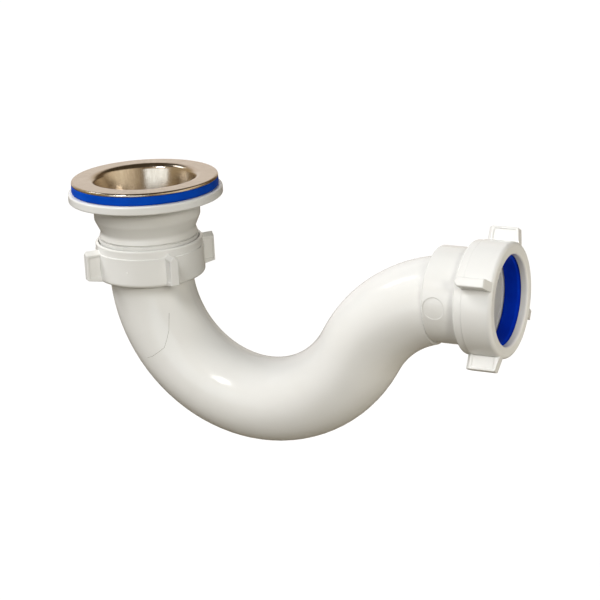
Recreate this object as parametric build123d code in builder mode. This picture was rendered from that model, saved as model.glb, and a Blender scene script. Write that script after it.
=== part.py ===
from build123d import *
from math import cos, radians, sin, tan
import os

# Tubular sink trap: a steel strainer cup and a gasket clamp the sink to a plastic waste body, and a bent
# pipe hangs below it on a winged nut. A second winged nut on the pipe's socket takes the drain pipe.
# Millimetres. The origin is on the inlet axis, in the plane where the sink is clamped, between the cup's
# flange and the gasket. +Z is up along the inlet axis and +X points out of the outlet.

# Clearances, all radial or normal to the faces
slip_clearance = 0.3        # pipe in the bore that it slides into
seal_clearance = 0.15       # pipe in the bore of a rubber seal
cone_clearance = 0.2        # seal's cone in the mouth that it is pressed into
thread_clearance = 0.2      # nut's bore over the crests of a thread
screw_clearance = 0.1       # screw in its nut, and screw head in the cup's dimple
hole_clearance = 0.3        # screw in the plain holes that it passes
pocket_clearance = 0.05     # hexagonal nut insert in its pocket
cup_clearance = 0.45        # cup's wall in the waste body

# Bent pipe
pipe_r = 20.0
pipe_wall = 2.5
pipe_insertion = 11.5       # how far the pipe's top end reaches into the waste body
pipe_end_chamfer = 0.8
leg_length = 15.4           # straight part of the inlet leg
u_bend_r = 59.0
arm_rise = 59.55            # degrees, slope of the arm where the two bends meet
arm_straight = 2.2
arm_bend_r = 57.2
arm_level = 9.7             # degrees, slope that is left where the arm meets the socket

# Outlet socket at the end of the pipe
socket_wall = 1.6
socket_length = 28.4
socket_rise = 2.95          # socket's axis above the middle of the arm's end
socket_floor = 4.0          # thickness of the stop for the drain pipe
socket_thread = 10.8
socket_edge_r = 0.5
mark_r = 5.0                # round moulding mark on the socket's side
mark_depth = 0.2
mark_offset = 5.8           # mark's centre from the socket's rear edge

# Threaded mouth, the same on the waste body and on the socket
thread_wall = 3.6
thread_chamfer = 0.8
thread_pitch = 25.4 / 11
thread_depth = 0.9
thread_crest = 0.7          # width of a crest
thread_root = 0.7           # width of a groove's floor
mouth_flare = 1.9
mouth_step = 0.9
mouth_depth = 5.6

# Conical seal
seal_base = 2.5             # part that stands between the nut's lip and the mouth
seal_cone = 5.1             # part that enters the mouth
seal_side_gap = 0.7         # inside the nut
seal_chamfer = 1.55

# Winged nut
nut_length = 17.95
nut_lip = 3.3
nut_hole_gap = 0.5          # lip's hole around the pipe
nut_wall = 2.05
nut_face_edge_r = 1.8
nut_hole_edge_r = 1.0
nut_band = 4.05             # slightly smaller band at the open end
nut_band_step = 0.45
nut_band_edge_r = 0.8
nut_lead = 1.5              # plain lead-in before the thread
nut_lead_step = 0.3
wing_count = 4
wing_reach = 6.6
wing_thickness = 4.2
wing_root = 1.4             # how deep the wing is sunk in the nut's wall
wing_foot = 0.5             # wing's lower edge above the nut's closed face, at the nut
wing_slant = 1.3            # how much higher that edge is at the wing's end
wing_head = 2.1             # wing's ridge below the nut's open end
wing_gable = 1.8
wing_panel = 1.1            # border round the shallow panel in each side of a wing
wing_panel_depth = 0.25
wing_edge_r = 0.6
inlet_wing_turn = -38.5     # degrees from +X towards +Y
outlet_wing_turn = 29.5     # degrees from -Y towards +Z

# Waste body
flange_margin = 1.65        # beyond the gasket
flange_thickness = 4.15
flange_top_edge_r = 0.9
flange_under_edge_r = 0.7
neck_step = 2.7             # neck beyond the waist
neck_straight = 9.4
neck_wall = 2.1
neck_bend_r = 3.0
waist_wall = 2.4
waist_cone = 6.0
waist_bend_r = 2.5
collar_step = 0.9           # collar beyond the waist
collar_flare = 2.8
relief_width = 0.7          # groove between the collar and the thread
relief_step = 0.7
inlet_thread = 13.6
rib_thickness = 2.6
rib_height = 7.5
rib_embed = 0.4             # wall that is left outside a rib's end
boss_r = 7.6
boss_length = 11.0
boss_gap = 0.7              # under the cup's dimple

# Gasket
gasket_thickness = 4.4
gasket_margin = 0.2         # beyond the cup's flange, at the bottom
gasket_hole_clearance = 0.7 # round the bowl, under the bend of the cup's mouth
gasket_edge_r = 1.0

# Strainer cup, pressed from sheet
cup_sheet = 0.8
cup_flange_r = 35.0
cup_rim_height = 1.35
cup_rim_bend_r = 1.0
cup_taper = 14.0            # degrees from the axis
cup_mouth_bend_r = 3.2
cup_depth = 17.5
cup_floor_bend_r = 6.0
dimple_depth = 2.7          # cone of 90 degrees for the screw's head
dimple_bend_r = 1.0
drain_margin = 1.2          # sheet left round the drain openings
drain_rib = 3.2
drain_count = 4
drain_corner_r = 0.9

# Strainer screw
screw_r = 3.0
screw_length = 20.0         # below the dimple's hole
screw_tip_chamfer = 0.8
head_below_floor = 0.6
head_edge = 0.3
head_dome = 0.9
slot_width = 1.4
slot_depth = 1.3

# Hexagonal nut insert
insert_flats = 10.0
insert_height = 5.0
insert_chamfer = 0.5

# Radii that follow from the pipe
bore_r = pipe_r + slip_clearance
thread_r = bore_r + thread_wall
groove_r = thread_r - thread_depth
mouth_r = bore_r + mouth_flare
mouth_inner_r = bore_r + mouth_step
mouth_chamfer = mouth_step
socket_r = bore_r + socket_wall
waist_r = bore_r + waist_wall
neck_r = waist_r + neck_step
neck_bore_r = neck_r - neck_wall
nut_bore_r = thread_r + thread_clearance
nut_r = nut_bore_r + nut_wall
nut_hole_r = pipe_r + nut_hole_gap

# Heights along the inlet axis
gasket_bottom_z = -gasket_thickness
flange_bottom_z = gasket_bottom_z - flange_thickness
neck_bottom_z = flange_bottom_z - neck_straight
waist_z = neck_bottom_z - waist_cone
collar_z = waist_z - collar_flare
thread_top_z = collar_z - relief_width
neck_end_z = thread_top_z - inlet_thread
inlet_face_z = neck_end_z - seal_base - nut_lip
pipe_top_z = neck_end_z + pipe_insertion
bend_z = pipe_top_z - leg_length

# Cup's wall, parallel to the waste body's funnel
taper = tan(radians(cup_taper))
cup_outer_r = neck_bore_r - cup_clearance
cup_wall_r = cup_outer_r - cup_sheet / cos(radians(cup_taper))
cup_mouth_r = cup_wall_r + (cup_rim_height - flange_bottom_z) * taper
cup_floor_z = cup_rim_height - cup_depth
cup_floor_r = cup_wall_r + (cup_floor_z - flange_bottom_z) * taper
cup_flat_r = cup_floor_r - cup_floor_bend_r * tan(radians(45 - cup_taper / 2))
screw_hole_r = screw_r + hole_clearance
dimple_r = screw_hole_r + dimple_depth
dimple_z = cup_floor_z - dimple_depth
gasket_hole_r = cup_mouth_r + cup_sheet + gasket_hole_clearance
gasket_r = cup_flange_r + gasket_margin
flange_r = gasket_r + flange_margin
boss_top_z = dimple_z - cup_sheet - boss_gap
boss_bottom_z = boss_top_z - boss_length

# Outlet, from where the arm's bend brings it
rise = radians(arm_rise)
level = radians(arm_level)
arm_x = u_bend_r * (1 + sin(rise)) + arm_straight * cos(rise) + arm_bend_r * (sin(rise) - sin(level))
arm_z = bend_z - u_bend_r * cos(rise) + arm_straight * sin(rise) + arm_bend_r * (cos(level) - cos(rise))
outlet_z = arm_z + socket_rise
socket_end_x = arm_x + socket_length
socket_floor_x = arm_x + socket_floor
thread_start_x = socket_end_x - socket_thread
outlet_face_x = socket_end_x + seal_base + nut_lip

# Planes on the closed faces of the two nuts, looking into the nut, with X along a wing
inlet_wing = radians(inlet_wing_turn)
outlet_wing = radians(outlet_wing_turn)
inlet_seat = Plane(
    (0, 0, inlet_face_z),
    x_dir=(cos(inlet_wing), sin(inlet_wing), 0),
    z_dir=(0, 0, 1),
)
outlet_seat = Plane(
    (outlet_face_x, 0, outlet_z),
    x_dir=(0, -cos(outlet_wing), sin(outlet_wing)),
    z_dir=(-1, 0, 0),
)
outlet_axis = Axis((0, 0, outlet_z), (1, 0, 0))
outlet_section = Plane((0, 0, outlet_z), x_dir=(1, 0, 0), z_dir=(0, -1, 0))

# Grooves of the two threads, from the mouth's edge: rings without lead
inlet_grooves = [
    Plane((0, 0, neck_end_z + thread_chamfer + turn * thread_pitch))
    for turn in range(int((inlet_thread - thread_chamfer) / thread_pitch))
]
outlet_grooves = [
    Plane((socket_end_x - thread_chamfer - turn * thread_pitch, 0, outlet_z), z_dir=(-1, 0, 0))
    for turn in range(int((socket_thread - thread_chamfer) / thread_pitch))
]

os.makedirs("parts", exist_ok=True)


# Steel strainer cup: one pressed sheet with a turned-down rim, a tapered bowl and a dimple for the screw
with BuildPart() as strainer_cup:
    with BuildSketch(Plane.XZ):
        with BuildLine():
            FilletPolyline(
                (cup_flange_r, 0),
                (cup_flange_r, cup_rim_height),
                (cup_mouth_r, cup_rim_height),
                (cup_floor_r, cup_floor_z),
                (dimple_r, cup_floor_z),
                (screw_hole_r, dimple_z),
                radius=[cup_rim_bend_r, cup_mouth_bend_r, cup_floor_bend_r, dimple_bend_r],
            )
            offset(amount=cup_sheet, side=Side.LEFT)
        make_face()
    revolve(axis=Axis.Z)
    with BuildSketch(Plane.XY.offset(cup_floor_z - cup_sheet)) as drains:
        Circle(cup_flat_r - drain_margin)
        Circle(dimple_r + drain_margin, mode=Mode.SUBTRACT)
        with PolarLocations(0, drain_count):
            Rectangle(cup_floor_r, drain_rib, align=(Align.MIN, Align.CENTER), mode=Mode.SUBTRACT)
        fillet(drains.vertices(), drain_corner_r)
    extrude(amount=cup_sheet, mode=Mode.SUBTRACT)
strainer_cup.part.label = "strainer_cup"
export_step(strainer_cup.part, "parts/strainer_cup.step")


# Slotted countersunk screw that pulls the cup down on the sink
head_edge_z = cup_floor_z - head_below_floor
head_seat_r = screw_clearance / cos(radians(45))
head_r = dimple_r - head_below_floor - head_seat_r
shank_top_z = head_edge_z - (head_r - screw_r)
screw_tip_z = dimple_z - screw_length
head_top_z = head_edge_z + head_edge + head_dome
with BuildPart() as strainer_screw:
    with BuildSketch(Plane.XZ):
        with BuildLine():
            Polyline(
                (0, head_top_z),
                (0, screw_tip_z),
                (screw_r - screw_tip_chamfer, screw_tip_z),
                (screw_r, screw_tip_z + screw_tip_chamfer),
                (screw_r, shank_top_z),
                (head_r, head_edge_z),
                (head_r, head_edge_z + head_edge),
            )
            TangentArc((0, head_top_z), (head_r, head_edge_z + head_edge), tangent=(1, 0))
        make_face()
    revolve(axis=Axis.Z)
    with BuildSketch(Plane.XY.offset(head_top_z)):
        Rectangle(2 * head_r, slot_width)
    extrude(amount=-slot_depth, mode=Mode.SUBTRACT)
strainer_screw.part.label = "strainer_screw"
export_step(strainer_screw.part, "parts/strainer_screw.step")


# Rubber gasket between the sink and the waste body
with BuildPart() as sink_gasket:
    with BuildSketch(Plane.XZ):
        with BuildLine():
            FilletPolyline(
                (gasket_hole_r, 0),
                (cup_flange_r, 0),
                (gasket_r, gasket_bottom_z),
                (gasket_hole_r, gasket_bottom_z),
                radius=gasket_edge_r,
                close=True,
            )
        make_face()
    revolve(axis=Axis.Z)
sink_gasket.part.label = "sink_gasket"
export_step(sink_gasket.part, "parts/sink_gasket.step")


# One groove of a thread, between two crests
with BuildPart() as thread_groove:
    with BuildSketch(Plane.XZ):
        with BuildLine():
            Polyline(
                (thread_r, thread_crest / 2),
                (groove_r, (thread_pitch - thread_root) / 2),
                (groove_r, (thread_pitch + thread_root) / 2),
                (thread_r, thread_pitch - thread_crest / 2),
                (nut_r, thread_pitch - thread_crest / 2),
                (nut_r, thread_crest / 2),
                close=True,
            )
        make_face()
    revolve(axis=Axis.Z)


# Waste body: flange, funnel and neck in one moulding, with a cross of ribs that carries the screw's boss
thread_root_r = waist_r + collar_step - relief_step
funnel_r = neck_bore_r + flange_thickness * taper
with BuildPart() as waste_body:
    with BuildSketch(Plane.XZ):
        with BuildLine():
            FilletPolyline(
                (funnel_r, gasket_bottom_z),
                (flange_r, gasket_bottom_z),
                (flange_r, flange_bottom_z),
                (neck_r, flange_bottom_z),
                (neck_r, neck_bottom_z),
                (waist_r, waist_z),
                (waist_r + collar_step, collar_z),
                (thread_root_r, collar_z),
                (thread_root_r, thread_top_z),
                (thread_r, thread_top_z),
                (thread_r, neck_end_z + thread_chamfer),
                (thread_r - thread_chamfer, neck_end_z),
                (mouth_r, neck_end_z),
                (mouth_inner_r, neck_end_z + mouth_depth),
                (bore_r, neck_end_z + mouth_depth + mouth_chamfer),
                (bore_r, waist_z),
                (neck_bore_r, neck_bottom_z),
                (neck_bore_r, flange_bottom_z),
                radius=[0, flange_top_edge_r, flange_under_edge_r, 0, neck_bend_r, waist_bend_r]
                + [0] * 9 + [waist_bend_r, neck_bend_r, 0],
                close=True,
            )
        make_face()
    revolve(axis=Axis.Z)
    with Locations(*inlet_grooves):
        add(thread_groove.part, mode=Mode.SUBTRACT)
    with BuildSketch(Plane.XY.offset(boss_top_z)):
        with PolarLocations(0, drain_count):
            Rectangle(waist_r - rib_embed, rib_thickness, align=(Align.MIN, Align.CENTER))
    extrude(amount=-rib_height)
    with BuildSketch(Plane.XY.offset(boss_bottom_z)):
        Circle(boss_r)
    extrude(amount=boss_length)
    with BuildSketch(Plane.XY.offset(boss_bottom_z)):
        Circle(screw_hole_r)
    extrude(amount=boss_length, mode=Mode.SUBTRACT)
    with BuildSketch(Plane.XY.offset(boss_bottom_z)):
        RegularPolygon(insert_flats / 2 + pocket_clearance, 6, major_radius=False)
    extrude(amount=insert_height, mode=Mode.SUBTRACT)
waste_body.part.label = "waste_body"
export_step(waste_body.part, "parts/waste_body.step")


# Brass hexagonal nut pressed into the boss from below
with BuildPart() as insert_nut:
    with BuildSketch(Plane.XY.offset(boss_bottom_z)):
        RegularPolygon(insert_flats / 2, 6, major_radius=False)
        Circle(screw_r + screw_clearance, mode=Mode.SUBTRACT)
    extrude(amount=insert_height)
    chamfer(insert_nut.faces().sort_by(Axis.Z)[0].inner_wires().edges(), insert_chamfer)
insert_nut.part.label = "insert_nut"
export_step(insert_nut.part, "parts/insert_nut.step")


# Bent pipe: inlet leg, U-bend, rising arm and threaded socket in one moulding
with BuildPart() as moulding_mark:
    with BuildSketch(outlet_section):
        with Locations((arm_x + mark_offset, socket_r)):
            Rectangle(4 * mark_r, 2 * mark_depth)
    revolve(axis=outlet_axis)
    with BuildSketch(Plane((arm_x + mark_offset, 0, outlet_z), x_dir=(1, 0, 0), z_dir=(0, -1, 0))):
        Circle(mark_r)
    extrude(amount=2 * socket_r, mode=Mode.INTERSECT)

with BuildPart() as trap_pipe:
    with BuildLine(Plane.XZ) as centreline:
        leg = Line((0, pipe_top_z), (0, bend_z))
        u_bend = JernArc(leg @ 1, leg % 1, u_bend_r, 90 + arm_rise)
        arm = Line(u_bend @ 1, u_bend @ 1 + (u_bend % 1) * arm_straight)
        JernArc(arm @ 1, arm % 1, arm_bend_r, -arm_rise)
    with BuildSketch(Plane.XY.offset(pipe_top_z)):
        Circle(pipe_r)
    sweep(path=centreline.line)
    chamfer(trap_pipe.faces().sort_by(Axis.Z)[-1].outer_wire().edges(), pipe_end_chamfer)
    split(bisect_by=Plane.YZ.offset(arm_x), keep=Keep.BOTTOM)
    with BuildSketch(outlet_section):
        with BuildLine():
            FilletPolyline(
                (arm_x, 0),
                (arm_x, socket_r),
                (thread_start_x, socket_r),
                (thread_start_x + thread_chamfer, thread_r),
                (socket_end_x - thread_chamfer, thread_r),
                (socket_end_x, thread_r - thread_chamfer),
                (socket_end_x, 0),
                radius=[0, socket_edge_r, 0, 0, 0, 0, 0],
                close=True,
            )
        make_face()
    revolve(axis=outlet_axis)
    with Locations(*outlet_grooves):
        add(thread_groove.part, mode=Mode.SUBTRACT)
    add(moulding_mark.part, mode=Mode.SUBTRACT)
    with BuildSketch(Plane.XY.offset(pipe_top_z)):
        Circle(pipe_r - pipe_wall)
    sweep(path=centreline.line, mode=Mode.SUBTRACT)
    with BuildSketch(outlet_section):
        with BuildLine():
            Polyline(
                (socket_floor_x, 0),
                (socket_floor_x, bore_r),
                (socket_end_x - mouth_depth - mouth_chamfer, bore_r),
                (socket_end_x - mouth_depth, mouth_inner_r),
                (socket_end_x, mouth_r),
                (socket_end_x, 0),
                close=True,
            )
        make_face()
    revolve(axis=outlet_axis, mode=Mode.SUBTRACT)
trap_pipe.part.label = "trap_pipe"
export_step(trap_pipe.part, "parts/trap_pipe.step")


# Conical seal, drawn on the nut's axis with the nut's closed face at height 0
seal_bore_r = pipe_r + seal_clearance
seal_back_z = nut_lip + seal_base
seal_tip_z = seal_back_z + seal_cone
cone_slope = (mouth_r - mouth_inner_r) / mouth_depth
cone_base_r = mouth_r - cone_clearance
with BuildPart() as cone_seal:
    with BuildSketch(Plane.XZ):
        with BuildLine():
            Polyline(
                (seal_bore_r + seal_chamfer, nut_lip),
                (nut_bore_r - seal_side_gap, nut_lip),
                (nut_bore_r - seal_side_gap, seal_back_z),
                (cone_base_r, seal_back_z),
                (cone_base_r - seal_cone * cone_slope, seal_tip_z),
                (seal_bore_r, seal_tip_z),
                (seal_bore_r, nut_lip + seal_chamfer),
                close=True,
            )
        make_face()
    revolve(axis=Axis.Z)


# Wing of a nut, along +X: the side outline, cut to a gable at the nut's open end
band_z = nut_length - nut_band
wing_top_z = nut_length - wing_head
wing_r = nut_r + wing_reach
panel_foot_z = wing_foot + wing_slant + wing_panel
panel_top_z = wing_top_z - wing_gable - wing_panel
panel_r = wing_r - wing_panel
with BuildPart() as wing:
    with BuildSketch(Plane.XZ):
        with BuildLine():
            Polyline(
                (nut_r - wing_root, wing_foot),
                (nut_r, wing_foot),
                (wing_r, wing_foot + wing_slant),
                (wing_r, wing_top_z),
                (nut_r - wing_root, wing_top_z),
                close=True,
            )
        make_face()
    extrude(amount=wing_thickness / 2, both=True)
    with BuildSketch(Plane.YZ):
        with BuildLine():
            Polyline(
                (-wing_thickness / 2, 0),
                (wing_thickness / 2, 0),
                (wing_thickness / 2, wing_top_z - wing_gable),
                (0, wing_top_z),
                (-wing_thickness / 2, wing_top_z - wing_gable),
                close=True,
            )
        make_face()
    extrude(amount=wing_r, mode=Mode.INTERSECT)
    fillet(wing.faces().sort_by(Axis.X)[-1].edges(), wing_edge_r)
    with BuildSketch(
        Plane.XZ.offset(wing_thickness / 2 - wing_panel_depth),
        Plane.XZ.offset(-wing_thickness / 2),
    ):
        with Locations(((nut_r + panel_r) / 2, (panel_foot_z + panel_top_z) / 2)):
            Rectangle(panel_r - nut_r, panel_top_z - panel_foot_z)
    extrude(amount=wing_panel_depth, mode=Mode.SUBTRACT)


# Winged nut, with its closed face at height 0 and its open end up
with BuildPart() as winged_nut:
    with BuildSketch(Plane.XZ):
        with BuildLine():
            FilletPolyline(
                (nut_hole_r, 0),
                (nut_r, 0),
                (nut_r, band_z),
                (nut_r - nut_band_step, band_z),
                (nut_r - nut_band_step, nut_length),
                (nut_bore_r + nut_lead_step, nut_length),
                (nut_bore_r + nut_lead_step, nut_length - nut_lead),
                (nut_bore_r, nut_length - nut_lead - nut_lead_step),
                (nut_bore_r, nut_lip),
                (nut_hole_r, nut_lip),
                radius=[nut_hole_edge_r, nut_face_edge_r, 0, 0, nut_band_edge_r] + [0] * 5,
                close=True,
            )
        make_face()
    revolve(axis=Axis.Z)
    with PolarLocations(0, wing_count):
        add(wing.part)


# The two couplings: a seal and a nut each on the inlet and on the outlet
with BuildPart() as inlet_seal:
    with Locations(inlet_seat):
        add(cone_seal.part)
inlet_seal.part.label = "inlet_seal"
export_step(inlet_seal.part, "parts/inlet_seal.step")

with BuildPart() as inlet_nut:
    with Locations(inlet_seat):
        add(winged_nut.part)
inlet_nut.part.label = "inlet_nut"
export_step(inlet_nut.part, "parts/inlet_nut.step")

with BuildPart() as outlet_seal:
    with Locations(outlet_seat):
        add(cone_seal.part)
outlet_seal.part.label = "outlet_seal"
export_step(outlet_seal.part, "parts/outlet_seal.step")

with BuildPart() as outlet_nut:
    with Locations(outlet_seat):
        add(winged_nut.part)
outlet_nut.part.label = "outlet_nut"
export_step(outlet_nut.part, "parts/outlet_nut.step")
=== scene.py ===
"""Looks of the tubular sink trap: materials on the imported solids, small marks, floor, light and camera.

Lengths are in metres. An azimuth of 0 degrees is on the side of -Y, and one of 90 on that of +X.
"""
import math

import bmesh
import bpy
from mathutils import Matrix, Vector
from mathutils.bvhtree import BVHTree


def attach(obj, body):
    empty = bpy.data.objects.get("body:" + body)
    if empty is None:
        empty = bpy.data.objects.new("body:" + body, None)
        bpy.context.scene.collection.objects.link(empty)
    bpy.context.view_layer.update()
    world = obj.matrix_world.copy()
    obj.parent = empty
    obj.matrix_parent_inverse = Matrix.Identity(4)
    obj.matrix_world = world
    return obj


# Camera, as fitted to the photograph's outlines
CAMERA_PLACE = (0.47790, -0.76697, 0.22082)
CAMERA_AZIMUTH = 27.426
CAMERA_ELEVATION = 17.568
CAMERA_ROLL = 2.863
CAMERA_LENS = 116.74
SENSOR = 36.0
CLIP_START = 0.05
CLIP_END = 50.0

# Floor, light and surroundings
FLOOR_Z = -0.32
FLOOR_SIZE = 30.0
FLOOR_COLOUR = (0.29, 0.265, 0.215, 1.0)
FLOOR_LIFT = (0.76, 0.78, 0.82, 1.0)
LAMPS = [
    # name, azimuth, elevation, strength, angle of the soft source, colour
    ("window", -72.5, 45.0, 2.05, 25.0, (1.0, 1.0, 1.0)),
    ("front", 7.5, 45.0, 1.08, 20.0, (1.0, 1.0, 1.0)),
    ("left", -12.5, 25.0, 0.52, 20.0, (1.0, 1.0, 1.0)),
    ("right", 48.0, 22.0, 1.04, 14.0, (1.0, 0.98, 0.91)),
    ("back", 207.5, 20.0, 0.85, 40.0, (1.0, 0.99, 0.96)),
]
# A near lamp on the outlet's side, turned to the origin
OUTLET_LAMP_PLACE = (0.34, 0.05, -0.08)
OUTLET_LAMP_SIZE = 0.12
OUTLET_LAMP_POWER = 0.13
OUTLET_LAMP_COLOUR = (1.0, 0.95, 0.86)
SKY_DIFFUSE = (0.012, 0.011, 0.009, 1.0)
SKY_SEEN = (1.0, 1.0, 1.0, 1.0)

# Cards round the set, which only reflections show
HALF_TURN = 180.0
SURROUND_R = 2.0
SURROUND_TOP = 1.7
SURROUND_STEPS = 72
CEILING_COLOUR = (0.076, 0.056, 0.034, 1.0)
TABLE_COLOUR = (0.16, 0.12, 0.08, 1.0)
TABLE_GAP = 0.004
SURROUND_STOPS = [
    # degrees to the right of the camera, colour
    (-180.0, (0.90, 0.82, 0.75, 1.0)),
    (-155.0, (0.96, 0.88, 0.83, 1.0)),
    (-125.0, (0.51, 0.40, 0.25, 1.0)),
    (-70.0, (0.47, 0.37, 0.23, 1.0)),
    (-10.0, (0.42, 0.31, 0.18, 1.0)),
    (6.0, (0.25, 0.18, 0.10, 1.0)),
    (34.0, (0.85, 0.73, 0.56, 1.0)),
    (58.0, (1.14, 1.03, 0.83, 1.0)),
    (95.0, (0.89, 0.74, 0.54, 1.0)),
    (118.0, (0.13, 0.08, 0.04, 1.0)),
    (145.0, (0.15, 0.10, 0.055, 1.0)),
    (160.0, (0.77, 0.66, 0.54, 1.0)),
    (180.0, (0.90, 0.82, 0.75, 1.0)),
]
WINDOW_R = 1.9
WINDOW_PANES = 8
WINDOWS = [
    # name, from and to in degrees to the right of the camera, lower and upper elevation, colour
    ("window_front", -53.0, 3.0, -9.0, 20.0, (1.7, 1.86, 2.02, 1.0)),
    ("window_left", -45.0, -33.0, 30.0, 44.0, (19.0, 19.4, 20.0, 1.0)),
    ("window_far_left", -113.0, -103.0, 36.0, 54.0, (9.0, 9.2, 9.5, 1.0)),
]

# Small marks on the plastic
SCRATCH_R = 0.00007
SCRATCH_STEPS = 4
SCRATCH = [
    # near the pipe's skin, from the top to the tip
    (0.0170, -0.0143, -0.0611),
    (0.0176, -0.0166, -0.0690),
    (0.0170, -0.0182, -0.0734),
    (0.0160, -0.0193, -0.0770),
    (0.0131, -0.0199, -0.0793),
    (0.0091, -0.0197, -0.0821),
    (0.0059, -0.0189, -0.0834),
]
CHIP_PLACE = (0.00264, -0.02601, -0.03926)
CHIP_R = 0.00036
CHIP_SHAPE = (1.0, 0.4, 1.4)

# Tones of the materials, from dark to light
PLASTIC_WHITE = [(0.790, 0.782, 0.752, 1.0), (0.806, 0.801, 0.776, 1.0), (0.818, 0.814, 0.793, 1.0)]
GASKET_BLUE = [(0.0008, 0.052, 0.42, 1.0), (0.0010, 0.064, 0.49, 1.0), (0.0020, 0.080, 0.55, 1.0)]
SEAL_BLUE = [(0.0006, 0.026, 0.46, 1.0), (0.0008, 0.034, 0.54, 1.0), (0.0015, 0.046, 0.60, 1.0)]
STEEL_TINT = [(0.515, 0.447, 0.360, 1.0), (0.560, 0.490, 0.400, 1.0), (0.605, 0.533, 0.443, 1.0)]
BRASS_TINT = [(0.56, 0.41, 0.16, 1.0), (0.74, 0.58, 0.28, 1.0)]
SCRATCH_GREY = [(0.16, 0.14, 0.11, 1.0), (0.30, 0.27, 0.22, 1.0)]
CHIP_WHITE = [(0.90, 0.90, 0.89, 1.0), (0.94, 0.94, 0.93, 1.0)]

# Where most of a noise's values lie
NOISE_LOW = 0.3
NOISE_HIGH = 0.7

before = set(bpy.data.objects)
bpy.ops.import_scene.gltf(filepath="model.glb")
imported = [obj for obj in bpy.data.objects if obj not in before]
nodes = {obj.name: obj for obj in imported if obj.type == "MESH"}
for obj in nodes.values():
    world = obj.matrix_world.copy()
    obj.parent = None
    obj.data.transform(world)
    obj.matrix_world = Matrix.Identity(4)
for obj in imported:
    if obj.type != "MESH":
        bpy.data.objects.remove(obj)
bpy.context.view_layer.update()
scene = bpy.context.scene


def add(tree, kind, inputs=None, **settings):
    """A shader node with its settings and unlinked input values."""
    made = tree.nodes.new(kind)
    for key, value in settings.items():
        setattr(made, key, value)
    for key, value in (inputs or {}).items():
        made.inputs[key].default_value = value
    return made


def material(name, **inputs):
    """A Principled material with plain values set on the shader's own sockets."""
    made = bpy.data.materials.new(name)
    made.use_nodes = True
    tree = made.node_tree
    shader = tree.nodes["Principled BSDF"]
    for key, value in inputs.items():
        shader.inputs[key.replace("_", " ")].default_value = value
    return made, tree, shader


def noise(tree, vector, scale, detail=3.0, rough=0.5):
    """Fractal noise at a vector, from 0 to 1."""
    made = add(tree, "ShaderNodeTexNoise", {"Scale": scale, "Detail": detail, "Roughness": rough})
    tree.links.new(vector, made.inputs["Vector"])
    return made.outputs["Fac"]


def ramp(tree, factor, places, colours):
    """A colour ramp with one colour at each place."""
    made = add(tree, "ShaderNodeValToRGB")
    elements = made.color_ramp.elements
    while len(elements) < len(colours):
        elements.new(1.0)
    for element, where, colour in zip(elements, places, colours):
        element.position = where
        element.color = colour
    tree.links.new(factor, made.inputs["Fac"])
    return made.outputs["Color"]


def spread(tree, factor, low, high):
    """Maps the usual values of a noise onto low to high."""
    limits = {"From Min": NOISE_LOW, "From Max": NOISE_HIGH, "To Min": low, "To Max": high}
    made = add(tree, "ShaderNodeMapRange", limits)
    tree.links.new(factor, made.inputs["Value"])
    return made.outputs["Result"]


def bump(tree, height, strength, distance, normal):
    """The normal, tilted by a height."""
    made = add(tree, "ShaderNodeBump", {"Strength": strength, "Distance": distance})
    tree.links.new(height, made.inputs["Height"])
    tree.links.new(normal, made.inputs["Normal"])
    return made.outputs["Normal"]


def soft_edge(tree, radius):
    """The normal, rounded at sharp edges."""
    return add(tree, "ShaderNodeBevel", {"Radius": radius}, samples=6).outputs["Normal"]


def place(tree, offset=(0.0, 0.0, 0.0), stretch=(1.0, 1.0, 1.0)):
    """Object coordinates in metres, shifted and stretched."""
    coords = add(tree, "ShaderNodeTexCoord")
    mapped = add(tree, "ShaderNodeMapping", {"Location": offset, "Scale": stretch})
    tree.links.new(coords.outputs["Object"], mapped.inputs["Vector"])
    return mapped.outputs["Vector"]


def white_plastic(name, offset, edge):
    """Moulded polypropylene: warm white, cloudy, with a faintly uneven gloss."""
    made, tree, shader = material(name, IOR=1.49, Specular_IOR_Level=0.32)
    where = place(tree, offset)
    cloud = noise(tree, where, scale=34.0, detail=4.0, rough=0.55)
    tree.links.new(ramp(tree, cloud, (0.28, 0.50, 0.72), PLASTIC_WHITE), shader.inputs["Base Color"])
    gloss = spread(tree, noise(tree, where, scale=150.0), low=0.12, high=0.18)
    tree.links.new(gloss, shader.inputs["Roughness"])
    waves = noise(tree, where, scale=40.0, detail=1.0)
    skin = bump(tree, waves, strength=0.05, distance=0.0006, normal=soft_edge(tree, edge))
    specks = noise(tree, where, scale=2600.0, detail=2.0)
    grain = bump(tree, specks, strength=0.04, distance=0.0001, normal=skin)
    tree.links.new(grain, shader.inputs["Normal"])
    return made


def blue_rubber(name, offset, tones):
    """Moulded rubber: saturated blue with a soft satin skin and a little bloom."""
    made, tree, shader = material(name, IOR=1.5, Specular_IOR_Level=0.03)
    where = place(tree, offset)
    bloom = noise(tree, where, scale=70.0, detail=4.0, rough=0.6)
    tree.links.new(ramp(tree, bloom, (0.30, 0.55, 0.75), tones), shader.inputs["Base Color"])
    gloss = spread(tree, noise(tree, where, scale=260.0), low=0.36, high=0.52)
    tree.links.new(gloss, shader.inputs["Roughness"])
    specks = noise(tree, where, scale=1500.0)
    skin = bump(tree, specks, strength=0.08, distance=0.00012, normal=soft_edge(tree, 0.0004))
    tree.links.new(skin, shader.inputs["Normal"])
    return made


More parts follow.
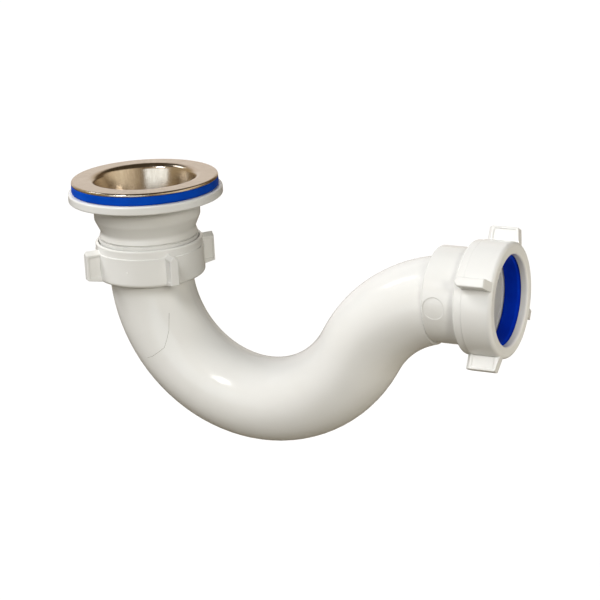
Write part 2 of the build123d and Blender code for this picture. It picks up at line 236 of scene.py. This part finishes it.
def steel(name):
    """Drawn and spun stainless sheet: fine rings on the flat, draw marks down the bowl."""
    made, tree, shader = material(name, Metallic=1.0)
    coords = add(tree, "ShaderNodeTexCoord").outputs["Object"]
    split = add(tree, "ShaderNodeSeparateXYZ")
    tree.links.new(coords, split.inputs["Vector"])
    flat = add(tree, "ShaderNodeCombineXYZ")
    tree.links.new(split.outputs["X"], flat.inputs["X"])
    tree.links.new(split.outputs["Y"], flat.inputs["Y"])
    length = add(tree, "ShaderNodeVectorMath", operation="LENGTH")
    tree.links.new(flat.outputs["Vector"], length.inputs[0])
    unit = add(tree, "ShaderNodeVectorMath", operation="NORMALIZE")
    tree.links.new(flat.outputs["Vector"], unit.inputs[0])
    # Rings vary with the distance from the axis alone
    rings = add(tree, "ShaderNodeCombineXYZ")
    tree.links.new(length.outputs["Value"], rings.inputs["X"])
    ring_noise = noise(tree, rings.outputs["Vector"], scale=3800.0, detail=4.0, rough=0.7)
    # Draw marks vary mostly with the direction from the axis
    drawn = add(tree, "ShaderNodeVectorMath", {1: (1.0, 1.0, 9.0)}, operation="MULTIPLY_ADD")
    tree.links.new(coords, drawn.inputs[0])
    tree.links.new(unit.outputs["Vector"], drawn.inputs[2])
    draw_noise = noise(tree, drawn.outputs["Vector"], scale=22.0, detail=4.0, rough=0.6)
    tree.links.new(ramp(tree, draw_noise, (0.25, 0.50, 0.75), STEEL_TINT), shader.inputs["Base Color"])
    gloss = spread(tree, noise(tree, coords, scale=180.0), low=0.17, high=0.25)
    tree.links.new(gloss, shader.inputs["Roughness"])
    dents = noise(tree, coords, scale=45.0, detail=1.0)
    wave = bump(tree, dents, strength=0.12, distance=0.0006, normal=soft_edge(tree, 0.0003))
    streak = bump(tree, draw_noise, strength=0.05, distance=0.0004, normal=wave)
    lathe = bump(tree, ring_noise, strength=0.03, distance=0.0001, normal=streak)
    tree.links.new(lathe, shader.inputs["Normal"])
    return made


def brass(name):
    """Turned brass with fine marks across its axis."""
    made, tree, shader = material(name, Metallic=1.0)
    where = place(tree, (0.3, 0.1, 0.2))
    tarnish = noise(tree, where, scale=240.0, detail=4.0)
    tree.links.new(ramp(tree, tarnish, (0.30, 0.70), BRASS_TINT), shader.inputs["Base Color"])
    gloss = spread(tree, noise(tree, where, scale=500.0), low=0.24, high=0.40)
    tree.links.new(gloss, shader.inputs["Roughness"])
    marks = noise(tree, place(tree, stretch=(1.0, 1.0, 14.0)), scale=420.0, detail=2.0)
    turned = bump(tree, marks, strength=0.10, distance=0.0002, normal=soft_edge(tree, 0.0002))
    tree.links.new(turned, shader.inputs["Normal"])
    return made


def worn_mark(name, tones):
    """A small mark in the plastic's skin."""
    made, tree, shader = material(name, IOR=1.49, Specular_IOR_Level=0.3)
    where = place(tree, (0.2, 0.2, 0.2))
    dirt = noise(tree, where, scale=900.0)
    tree.links.new(ramp(tree, dirt, (0.35, 0.65), tones), shader.inputs["Base Color"])
    gloss = spread(tree, noise(tree, where, scale=1800.0, detail=2.0), low=0.35, high=0.60)
    tree.links.new(gloss, shader.inputs["Roughness"])
    return made


finishes = {
    "strainer_cup": steel("spun_steel"),
    "strainer_screw": steel("screw_steel"),
    "sink_gasket": blue_rubber("gasket_rubber", (0.0, 0.0, 0.0), GASKET_BLUE),
    "inlet_seal": blue_rubber("inlet_seal_rubber", (0.4, 0.1, 0.0), SEAL_BLUE),
    "outlet_seal": blue_rubber("outlet_seal_rubber", (0.1, 0.5, 0.2), SEAL_BLUE),
    "waste_body": white_plastic("waste_plastic", (0.0, 0.3, 0.1), 0.0004),
    "inlet_nut": white_plastic("inlet_nut_plastic", (0.6, 0.0, 0.2), 0.0005),
    "trap_pipe": white_plastic("pipe_plastic", (0.1, 0.2, 0.7), 0.0004),
    "outlet_nut": white_plastic("outlet_nut_plastic", (0.9, 0.4, 0.1), 0.0005),
    "insert_nut": brass("turned_brass"),
}
for name, finish in finishes.items():
    mesh = nodes[name].data
    mesh.materials.clear()
    mesh.materials.append(finish)


# A fine scratch down the inlet leg and a chip in the inlet nut
line = bpy.data.curves.new("pipe_scratch", "CURVE")
line.dimensions = "3D"
line.bevel_depth = SCRATCH_R
line.bevel_resolution = 1
line.use_fill_caps = True
shell = bmesh.new()
shell.from_mesh(nodes["trap_pipe"].data)
skin = BVHTree.FromBMesh(shell)
shell.free()
track = [
    Vector(start).lerp(end, step / SCRATCH_STEPS)
    for start, end in zip(SCRATCH, SCRATCH[1:])
    for step in range(SCRATCH_STEPS)
] + [Vector(SCRATCH[-1])]
spline = line.splines.new("POLY")
spline.points.add(len(track) - 1)
for point, near in zip(spline.points, track):
    point.co = (*skin.find_nearest(near)[0], 1.0)
line.materials.append(worn_mark("scratch_plastic", SCRATCH_GREY))
scratch = bpy.data.objects.new("pipe_scratch", line)
scene.collection.objects.link(scratch)
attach(scratch, "trap")

lump = bmesh.new()
bmesh.ops.create_icosphere(lump, subdivisions=2, radius=CHIP_R)
bmesh.ops.scale(lump, vec=CHIP_SHAPE, verts=lump.verts)
bmesh.ops.translate(lump, vec=CHIP_PLACE, verts=lump.verts)
chip_mesh = bpy.data.meshes.new("nut_chip")
lump.to_mesh(chip_mesh)
lump.free()
chip_mesh.shade_smooth()
chip_mesh.materials.append(worn_mark("chip_plastic", CHIP_WHITE))
chip = bpy.data.objects.new("nut_chip", chip_mesh)
scene.collection.objects.link(chip)
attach(chip, "inlet_nut")


def seen_directly(tree):
    """1 for camera, glossy and transmission rays, 0 for the rest."""
    path = add(tree, "ShaderNodeLightPath")
    first = add(tree, "ShaderNodeMath", operation="MAXIMUM")
    second = add(tree, "ShaderNodeMath", operation="MAXIMUM")
    tree.links.new(path.outputs["Is Camera Ray"], first.inputs[0])
    tree.links.new(path.outputs["Is Glossy Ray"], first.inputs[1])
    tree.links.new(first.outputs["Value"], second.inputs[0])
    tree.links.new(path.outputs["Is Transmission Ray"], second.inputs[1])
    return second.outputs["Value"]


def floor_material():
    """A plain pale sheet that bounces a warm light and keeps the shadow."""
    made = bpy.data.materials.new("pale_floor")
    made.use_nodes = True
    tree = made.node_tree
    tree.nodes.clear()
    out = add(tree, "ShaderNodeOutputMaterial")
    paper = add(tree, "ShaderNodeBsdfDiffuse", {"Color": FLOOR_COLOUR})
    lift = add(tree, "ShaderNodeEmission", {"Color": FLOOR_LIFT, "Strength": 1.0})
    both = add(tree, "ShaderNodeAddShader")
    seen = seen_directly(tree)
    mixed = add(tree, "ShaderNodeMixShader")
    tree.links.new(paper.outputs["BSDF"], both.inputs[0])
    tree.links.new(lift.outputs["Emission"], both.inputs[1])
    tree.links.new(seen, mixed.inputs["Fac"])
    tree.links.new(paper.outputs["BSDF"], mixed.inputs[1])
    tree.links.new(both.outputs["Shader"], mixed.inputs[2])
    tree.links.new(mixed.outputs["Shader"], out.inputs["Surface"])
    return made


half = FLOOR_SIZE / 2
sheet = bpy.data.meshes.new("floor")
corners = [(-half, -half, FLOOR_Z), (half, -half, FLOOR_Z), (half, half, FLOOR_Z), (-half, half, FLOOR_Z)]
sheet.from_pydata(corners, [], [(0, 1, 2, 3)])
sheet.materials.append(floor_material())
floor = bpy.data.objects.new("floor", sheet)
scene.collection.objects.link(floor)

# World: white where it is seen, nearly dark as a light
world = bpy.data.worlds.new("studio")
scene.world = world
world.use_nodes = True
sky = world.node_tree
sky.nodes.clear()
sky_out = add(sky, "ShaderNodeOutputWorld")
sky_seen = add(sky, "ShaderNodeBackground", {"Color": SKY_SEEN, "Strength": 1.0})
sky_light = add(sky, "ShaderNodeBackground", {"Color": SKY_DIFFUSE, "Strength": 1.0})
sky_mix = add(sky, "ShaderNodeMixShader")
sky.links.new(seen_directly(sky), sky_mix.inputs["Fac"])
sky.links.new(sky_light.outputs["Background"], sky_mix.inputs[1])
sky.links.new(sky_seen.outputs["Background"], sky_mix.inputs[2])
sky.links.new(sky_mix.outputs["Shader"], sky_out.inputs["Surface"])


def bearing(azimuth, elevation):
    """Unit vector from the object towards a viewer or lamp at that azimuth and elevation, in degrees."""
    a, e = math.radians(azimuth), math.radians(elevation)
    return Vector((math.sin(a) * math.cos(e), -math.cos(a) * math.cos(e), math.sin(e)))


def hang_lamp(name, kind, spot, direction, energy, colour):
    """A lamp at a spot, turned along a direction, that neither the camera nor reflections show."""
    lamp = bpy.data.lights.new(name, kind)
    lamp.energy = energy
    lamp.color = colour
    holder = bpy.data.objects.new(name, lamp)
    holder.location = spot
    holder.rotation_mode = "QUATERNION"
    holder.rotation_quaternion = direction.to_track_quat("-Z", "Y")
    holder.visible_camera = False
    holder.visible_glossy = False
    scene.collection.objects.link(holder)
    return lamp


for name, azimuth, elevation, strength, angle, colour in LAMPS:
    towards = bearing(azimuth, elevation)
    sun = hang_lamp(name, "SUN", towards * SURROUND_R, -towards, strength, colour)
    sun.angle = math.radians(angle)
spot = Vector(OUTLET_LAMP_PLACE)
disk = hang_lamp("outlet_lamp", "AREA", spot, -spot, OUTLET_LAMP_POWER, OUTLET_LAMP_COLOUR)
disk.shape = "DISK"
disk.size = OUTLET_LAMP_SIZE


def glowing(name):
    """An emission material and the socket for its colour."""
    made = bpy.data.materials.new(name)
    made.use_nodes = True
    tree = made.node_tree
    tree.nodes.clear()
    out = add(tree, "ShaderNodeOutputMaterial")
    glow = add(tree, "ShaderNodeEmission", {"Strength": 1.0})
    tree.links.new(glow.outputs["Emission"], out.inputs["Surface"])
    return made, tree, glow.inputs["Color"]


def plain_glow(name, shade):
    """An emission material of one colour."""
    made, _, socket = glowing(name)
    socket.default_value = shade
    return made


def reflection_card(name, points, faces, finish):
    """A stage card that only reflections show."""
    mesh = bpy.data.meshes.new(name)
    mesh.from_pydata(points, [], faces)
    mesh.materials.append(finish)
    card = bpy.data.objects.new(name, mesh)
    card.visible_camera = False
    card.visible_diffuse = False
    card.visible_transmission = False
    card.visible_shadow = False
    scene.collection.objects.link(card)
    return mesh


def turn_share(turn):
    """0 to 1 for -180 to 180 degrees to the right of the camera."""
    return (turn + HALF_TURN) / (2 * HALF_TURN)


def band(lower, upper):
    """Points and faces of a strip between two rows of points."""
    count = len(lower)
    faces = [(k, k + 1, count + k + 1, count + k) for k in range(count - 1)]
    return lower + upper, faces


wall_finish, wall_tree, wall_colour = glowing("surround_card")
around = add(wall_tree, "ShaderNodeAttribute", attribute_name="turn")
stops = [turn_share(turn) for turn, colour in SURROUND_STOPS]
tones = ramp(wall_tree, around.outputs["Fac"], stops, [colour for turn, colour in SURROUND_STOPS])
wall_tree.links.new(tones, wall_colour)
turns = [2 * HALF_TURN * k / SURROUND_STEPS - HALF_TURN for k in range(SURROUND_STEPS + 1)]
rim = [bearing(CAMERA_AZIMUTH + turn, 0.0) * SURROUND_R for turn in turns]
foot = [(p.x, p.y, FLOOR_Z) for p in rim]
head = [(p.x, p.y, SURROUND_TOP) for p in rim]
wall = reflection_card("surround", *band(foot, head), wall_finish)
layer = wall.attributes.new("turn", "FLOAT", "POINT")
for point, turn in zip(layer.data, turns + turns):
    point.value = turn_share(turn)
disc = [tuple(range(SURROUND_STEPS))]
table = [(x, y, z + TABLE_GAP) for x, y, z in foot[:-1]]
reflection_card("ceiling", head[:-1], disc, plain_glow("ceiling_card", CEILING_COLOUR))
reflection_card("table", table, disc, plain_glow("table_card", TABLE_COLOUR))
for name, left, right, sill, lintel, colour in WINDOWS:
    azimuths = [CAMERA_AZIMUTH + left + (right - left) * k / WINDOW_PANES for k in range(WINDOW_PANES + 1)]
    lower = [bearing(azimuth, sill) * WINDOW_R for azimuth in azimuths]
    upper = [bearing(azimuth, lintel) * WINDOW_R for azimuth in azimuths]
    reflection_card(name, *band(lower, upper), plain_glow(name + "_card", colour))

lens = bpy.data.cameras.new("camera")
lens.lens = CAMERA_LENS
lens.sensor_width = SENSOR
lens.clip_start = CLIP_START
lens.clip_end = CLIP_END
camera = bpy.data.objects.new("camera", lens)
camera.matrix_world = (
    Matrix.Translation(CAMERA_PLACE)
    @ Matrix.Rotation(math.radians(CAMERA_AZIMUTH), 4, "Z")
    @ Matrix.Rotation(math.radians(90.0 - CAMERA_ELEVATION), 4, "X")
    @ Matrix.Rotation(math.radians(-CAMERA_ROLL), 4, "Z")
)
scene.collection.objects.link(camera)
scene.camera = camera
scene.view_settings.view_transform = "Standard"
